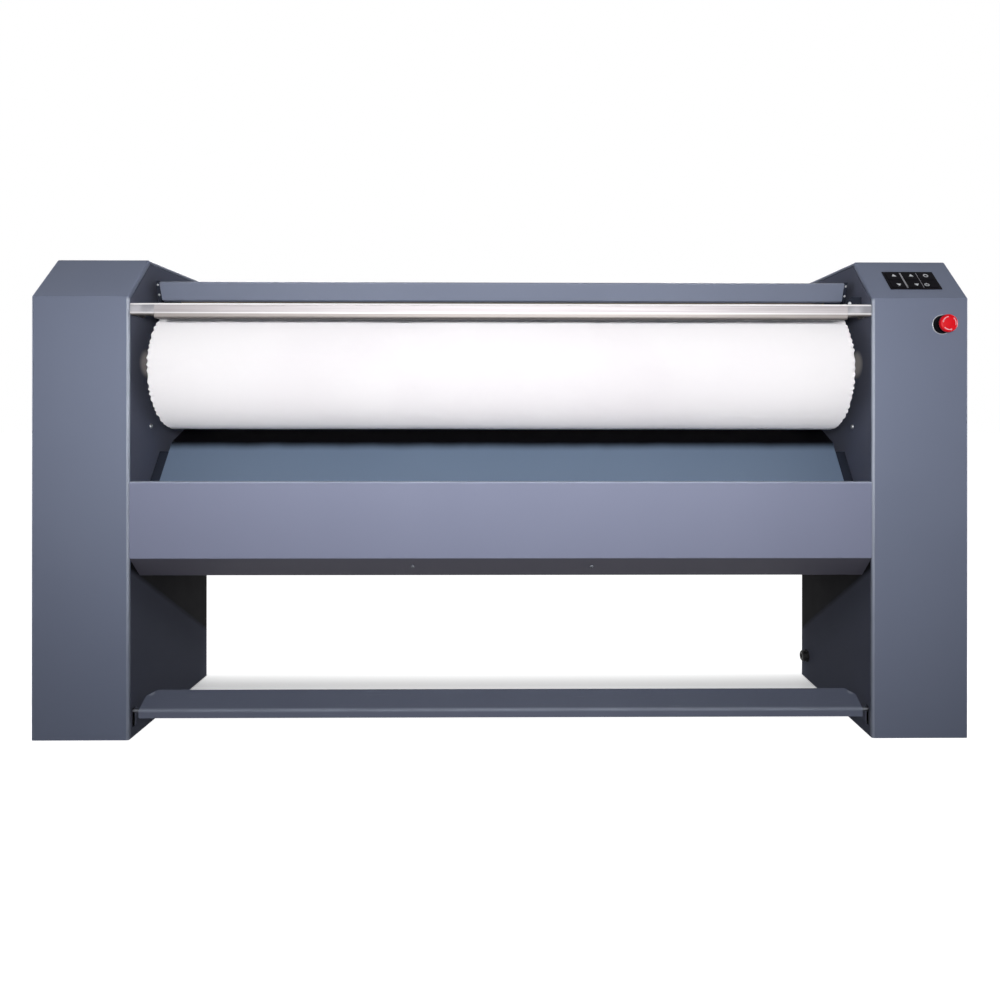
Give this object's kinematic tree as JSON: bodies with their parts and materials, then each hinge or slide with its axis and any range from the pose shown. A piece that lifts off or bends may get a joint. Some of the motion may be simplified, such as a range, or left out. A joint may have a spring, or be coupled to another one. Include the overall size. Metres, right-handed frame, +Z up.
{
  "type": "flatwork ironer",
  "caption": "Floor-standing flatwork ironer: padded roll between two cabinets, heated chest behind it, guard bar, linen tray and full-width foot bar.",
  "frame": {"origin": "middle of the footprint on the floor, under the bounding box", "axes": "+X to the right of someone who stands at the roll, +Y from that person to the rear, +Z up"},
  "size_m": [2.068, 0.469, 1.077],
  "materials": {
    "casing_paint": "fine-textured satin powder coat, blue grey",
    "frame_paint": "satin powder coat, dark blue grey",
    "cover_paint": "satin powder coat, blue grey",
    "bright_rail": "bright drawn aluminium, fine lengthwise lines",
    "polished_shoe": "ground and polished, worn by linen",
    "roll_cloth": "white cotton sleeve over springy padding",
    "mineral_wool": "pressed mineral wool",
    "steel": "turned or drawn bright steel",
    "dark_steel": "oiled steel",
    "zinc_steel": "zinc plated sheet and bar",
    "heater_sheath": "heat-tinted stainless sheath",
    "cast_iron": "grey painted casting",
    "bronze": "sintered bronze bush",
    "rubber": "moulded black rubber",
    "black_plastic": "fine-grained black moulding",
    "key_plastic": "smooth black key film",
    "grey_plastic": "grey moulding",
    "red_plastic": "glossy red moulding",
    "circuit_board": "green solder mask"
  },
  "bodies": {
    "machine": {"front_casing_left": "casing_paint", "front_casing_right": "casing_paint", "inner_frame_left": "frame_paint", "inner_frame_right": "frame_paint", "outer_panels": "casing_paint", "rear_panels": "casing_paint", "base_plates": "zinc_steel", "foot_pads": "rubber", "foot_screws": "zinc_steel", "roll_bearings": "cast_iron", "drive_chain": "dark_steel", "gear_motor": "cast_iron", "motor_bracket": "zinc_steel", "chest_bushes": "bronze", "guard_pins": "steel", "switch_bracket": "frame_paint", "apron": "casing_paint", "linen_plate": "casing_paint", "linen_brackets": "frame_paint", "cross_beams": "frame_paint", "rear_sheet": "casing_paint", "pedal_pivots": "steel", "return_springs": "steel", "keypad_bezel": "black_plastic", "control_board": "circuit_board", "e_stop_collar": "black_plastic", "contact_block": "grey_plastic", "mounting_plate": "zinc_steel", "contactors": "grey_plastic", "terminal_blocks": "grey_plastic", "cable_gland": "black_plastic"},
    "roll": {"roll_drum": "steel", "roll_end_discs": "steel", "roll_journals": "steel", "roll_padding": "roll_cloth", "roll_sprocket": "dark_steel"},
    "motor_wheel": {"motor_sprocket": "dark_steel"},
    "chest": {"chest_shoe": "polished_shoe", "heaters": "heater_sheath", "heater_clamps": "zinc_steel", "chest_blanket": "mineral_wool", "chest_cover": "cover_paint", "chest_end_plates": "frame_paint", "chest_levers": "zinc_steel", "temperature_probe": "steel"},
    "guard": {"guard_bar": "bright_rail", "guard_end_arms": "bright_rail"},
    "pedal": {"pedal_bar": "casing_paint", "pedal_arms": "zinc_steel"},
    "lift_linkage": {"lift_rods": "zinc_steel"},
    "stop_stem": {"e_stop_stem": "steel"},
    "stop_head": {"e_stop_cap": "red_plastic"},
    "key_1_upper_cap": {"key_1_upper": "key_plastic"},
    "key_1_lower_cap": {"key_1_lower": "key_plastic"},
    "key_2_upper_cap": {"key_2_upper": "key_plastic"},
    "key_2_lower_cap": {"key_2_lower": "key_plastic"},
    "key_3_upper_cap": {"key_3_upper": "key_plastic"},
    "key_3_lower_cap": {"key_3_lower": "key_plastic"}
  },
  "joints": [
    {"name": "roll_spin", "type": "hinge", "parent": "machine", "child": "roll", "pos_m": [0, -0.0465, 0.824], "axis": [-1, 0, 0], "continuous": true, "deforming": ["drive_chain"]},
    {"name": "motor_spin", "type": "hinge", "parent": "machine", "child": "motor_wheel", "pos_m": [0, -0.00439, 0.52435], "axis": [-1, 0, 0], "continuous": true},
    {"name": "chest_swing", "type": "hinge", "parent": "machine", "child": "chest", "pos_m": [0, 0.1285, 0.66], "axis": [1, 0, 0], "range_deg": [0, 3], "stiffness_Nm_per_rad": 400, "springref_deg": -22.92},
    {"name": "pedal_press", "type": "hinge", "parent": "machine", "child": "pedal", "pos_m": [0, 0.1385, 0.075], "axis": [1, 0, 0], "range_deg": [0, 5.2], "stiffness_Nm_per_rad": 60, "springref_deg": -20.05, "deforming": ["return_springs"]},
    {"name": "lift_rod_hinge", "type": "hinge", "parent": "pedal", "child": "lift_linkage", "pos_m": [0, 0.0385, 0.075], "axis": [1, 0, 0], "range_deg": [-5.3, 0]},
    {"name": "guard_swing", "type": "hinge", "parent": "machine", "child": "guard", "pos_m": [0, -0.1575, 0.945], "axis": [-1, 0, 0], "range_deg": [0, 6], "stiffness_Nm_per_rad": 6, "springref_deg": -6.88},
    {"name": "stop_press", "type": "slide", "parent": "machine", "child": "stop_stem", "axis": [0, 1, 0], "range_m": [0, 0.005], "stiffness_N_per_m": 800, "springref_m": -0.002},
    {"name": "stop_twist", "type": "hinge", "parent": "stop_stem", "child": "stop_head", "pos_m": [0.9745, -0.2345, 0.92], "axis": [0, -1, 0], "range_deg": [0, 30], "stiffness_Nm_per_rad": 0.05, "springref_deg": -5.73},
    {"name": "key_1_upper_press", "type": "slide", "parent": "machine", "child": "key_1_upper_cap", "axis": [0, 0.7071, -0.7071], "range_m": [0, 0.001], "stiffness_N_per_m": 500, "springref_m": -0.001},
    {"name": "key_1_lower_press", "type": "slide", "parent": "machine", "child": "key_1_lower_cap", "axis": [0, 0.7071, -0.7071], "range_m": [0, 0.001], "stiffness_N_per_m": 500, "springref_m": -0.001},
    {"name": "key_2_upper_press", "type": "slide", "parent": "machine", "child": "key_2_upper_cap", "axis": [0, 0.7071, -0.7071], "range_m": [0, 0.001], "stiffness_N_per_m": 500, "springref_m": -0.001},
    {"name": "key_2_lower_press", "type": "slide", "parent": "machine", "child": "key_2_lower_cap", "axis": [0, 0.7071, -0.7071], "range_m": [0, 0.001], "stiffness_N_per_m": 500, "springref_m": -0.001},
    {"name": "key_3_upper_press", "type": "slide", "parent": "machine", "child": "key_3_upper_cap", "axis": [0, 0.7071, -0.7071], "range_m": [0, 0.001], "stiffness_N_per_m": 500, "springref_m": -0.001},
    {"name": "key_3_lower_press", "type": "slide", "parent": "machine", "child": "key_3_lower_cap", "axis": [0, 0.7071, -0.7071], "range_m": [0, 0.001], "stiffness_N_per_m": 500, "springref_m": -0.001}
  ],
  "couplings": [
    {"joint": "motor_spin", "follows": "roll_spin", "ratio": 2},
    {"joint": "pedal_press", "follows": "chest_swing", "ratio": 1.7333},
    {"joint": "lift_rod_hinge", "follows": "chest_swing", "ratio": -1.7281}
  ]
}
